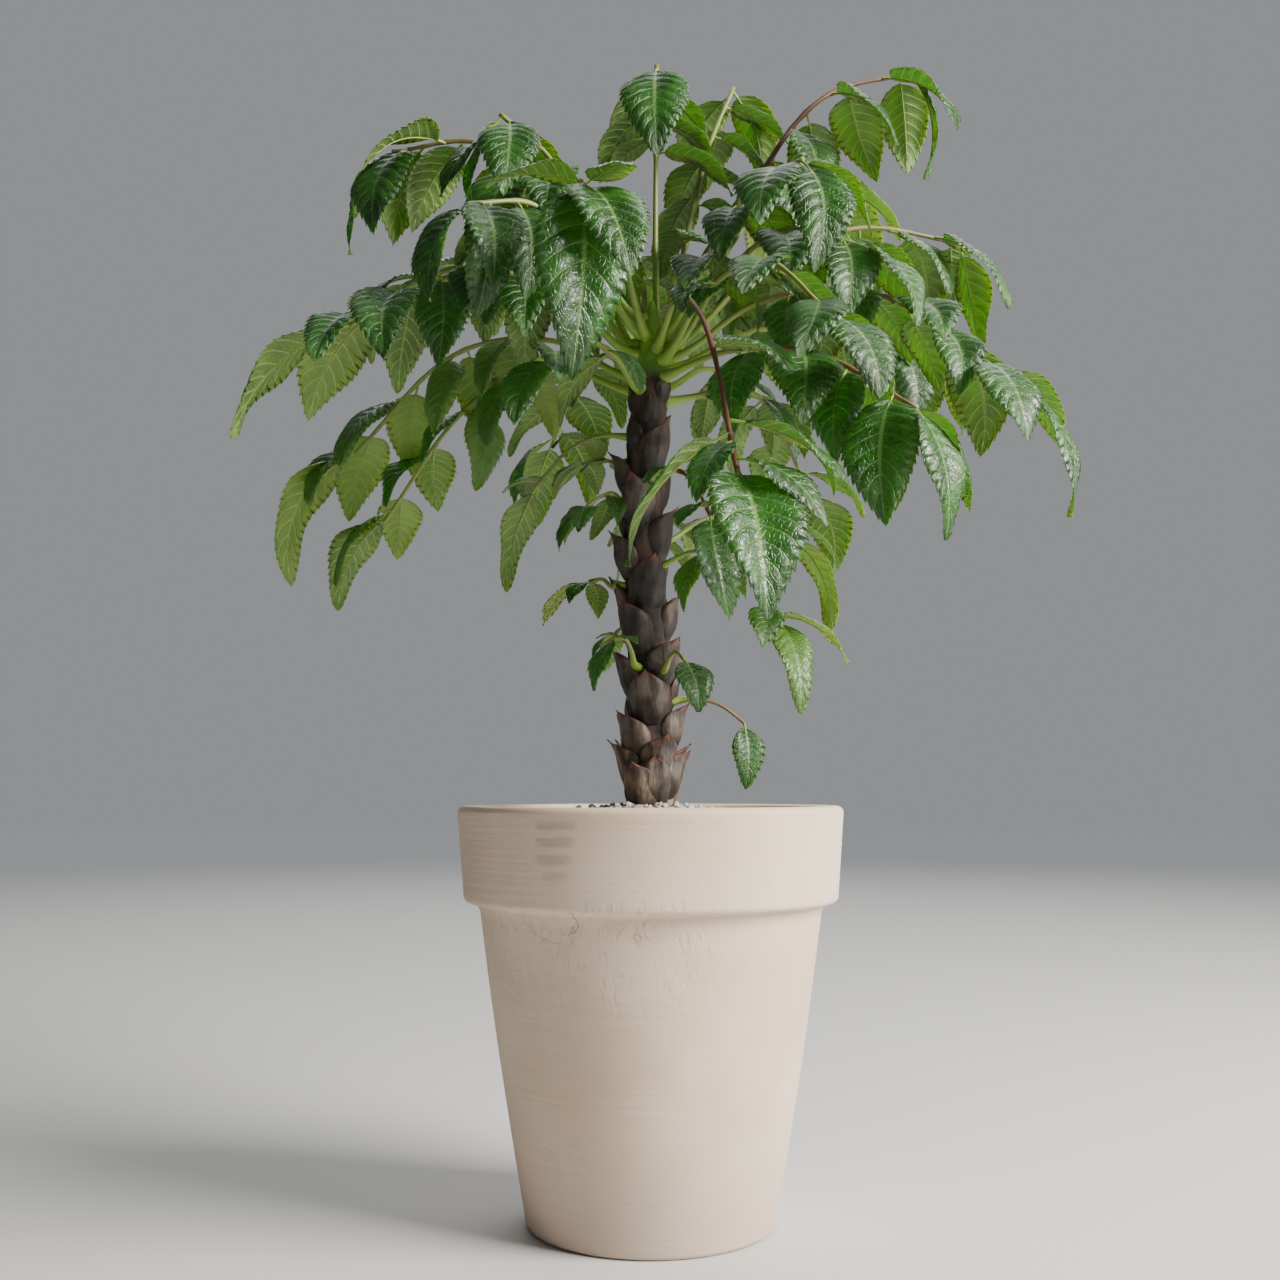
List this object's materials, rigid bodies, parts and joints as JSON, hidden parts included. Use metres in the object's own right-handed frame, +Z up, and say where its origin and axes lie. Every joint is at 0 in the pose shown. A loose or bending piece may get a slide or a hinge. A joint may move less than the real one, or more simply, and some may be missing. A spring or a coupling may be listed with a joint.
{
  "type": "potted caudex plant",
  "caption": "Potted caudex plant: slender scaly trunk with drooping compound leaves in a tall plain clay pot.",
  "frame": {"origin": "middle of the pot's foot, on the surface it stands on", "axes": "+Z up along the pot's axis; -Y is the front, +X is the right seen from the front"},
  "size_m": [0.3858, 0.3265, 0.5704],
  "materials": {
    "clay": "unglazed, matte, fine throwing lines",
    "soil": "dark, crumbly",
    "pumice": "rough pale grit",
    "bark": "rough, dry old leaf bases",
    "leaf": "glossy above, paler and duller below"
  },
  "bodies": {
    "root": {"leaf_back_centre": "leaf", "leaf_back_left": "leaf", "leaf_back_low_left": "leaf", "leaf_back_low_right": "leaf", "leaf_back_right": "leaf", "leaf_front_inner": "leaf", "leaf_front_left": "leaf", "leaf_front_right": "leaf", "leaf_front_stalk": "leaf", "leaf_left_back_high": "leaf", "leaf_left_front": "leaf", "leaf_left_high": "leaf", "leaf_left_low": "leaf", "leaf_left_lowest": "leaf", "leaf_right_droop": "leaf", "leaf_right_front": "leaf", "leaf_right_front_high": "leaf", "leaf_right_high": "leaf", "leaf_right_inner": "leaf", "leaf_right_low": "leaf", "leaf_right_olive": "leaf", "leaf_right_pale": "leaf", "leaf_top_centre": "leaf", "leaf_top_right": "leaf", "leaf_up_right_back": "leaf", "leaf_upper_left": "leaf", "leaf_upper_left_front": "leaf", "pot": "clay", "potting_soil": "soil", "pumice_topdressing": "pumice", "shoot_back": "leaf", "shoot_back_low": "leaf", "shoot_front_right": "leaf", "shoot_left_front": "leaf", "shoot_left_long": "leaf", "shoot_left_mid": "leaf", "shoot_left_pale": "leaf", "shoot_left_small": "leaf", "shoot_right_far": "leaf", "shoot_right_low": "leaf", "shoot_right_lowest": "leaf", "shoot_right_near": "leaf", "trunk": "bark"}
  },
  "joints": []
}
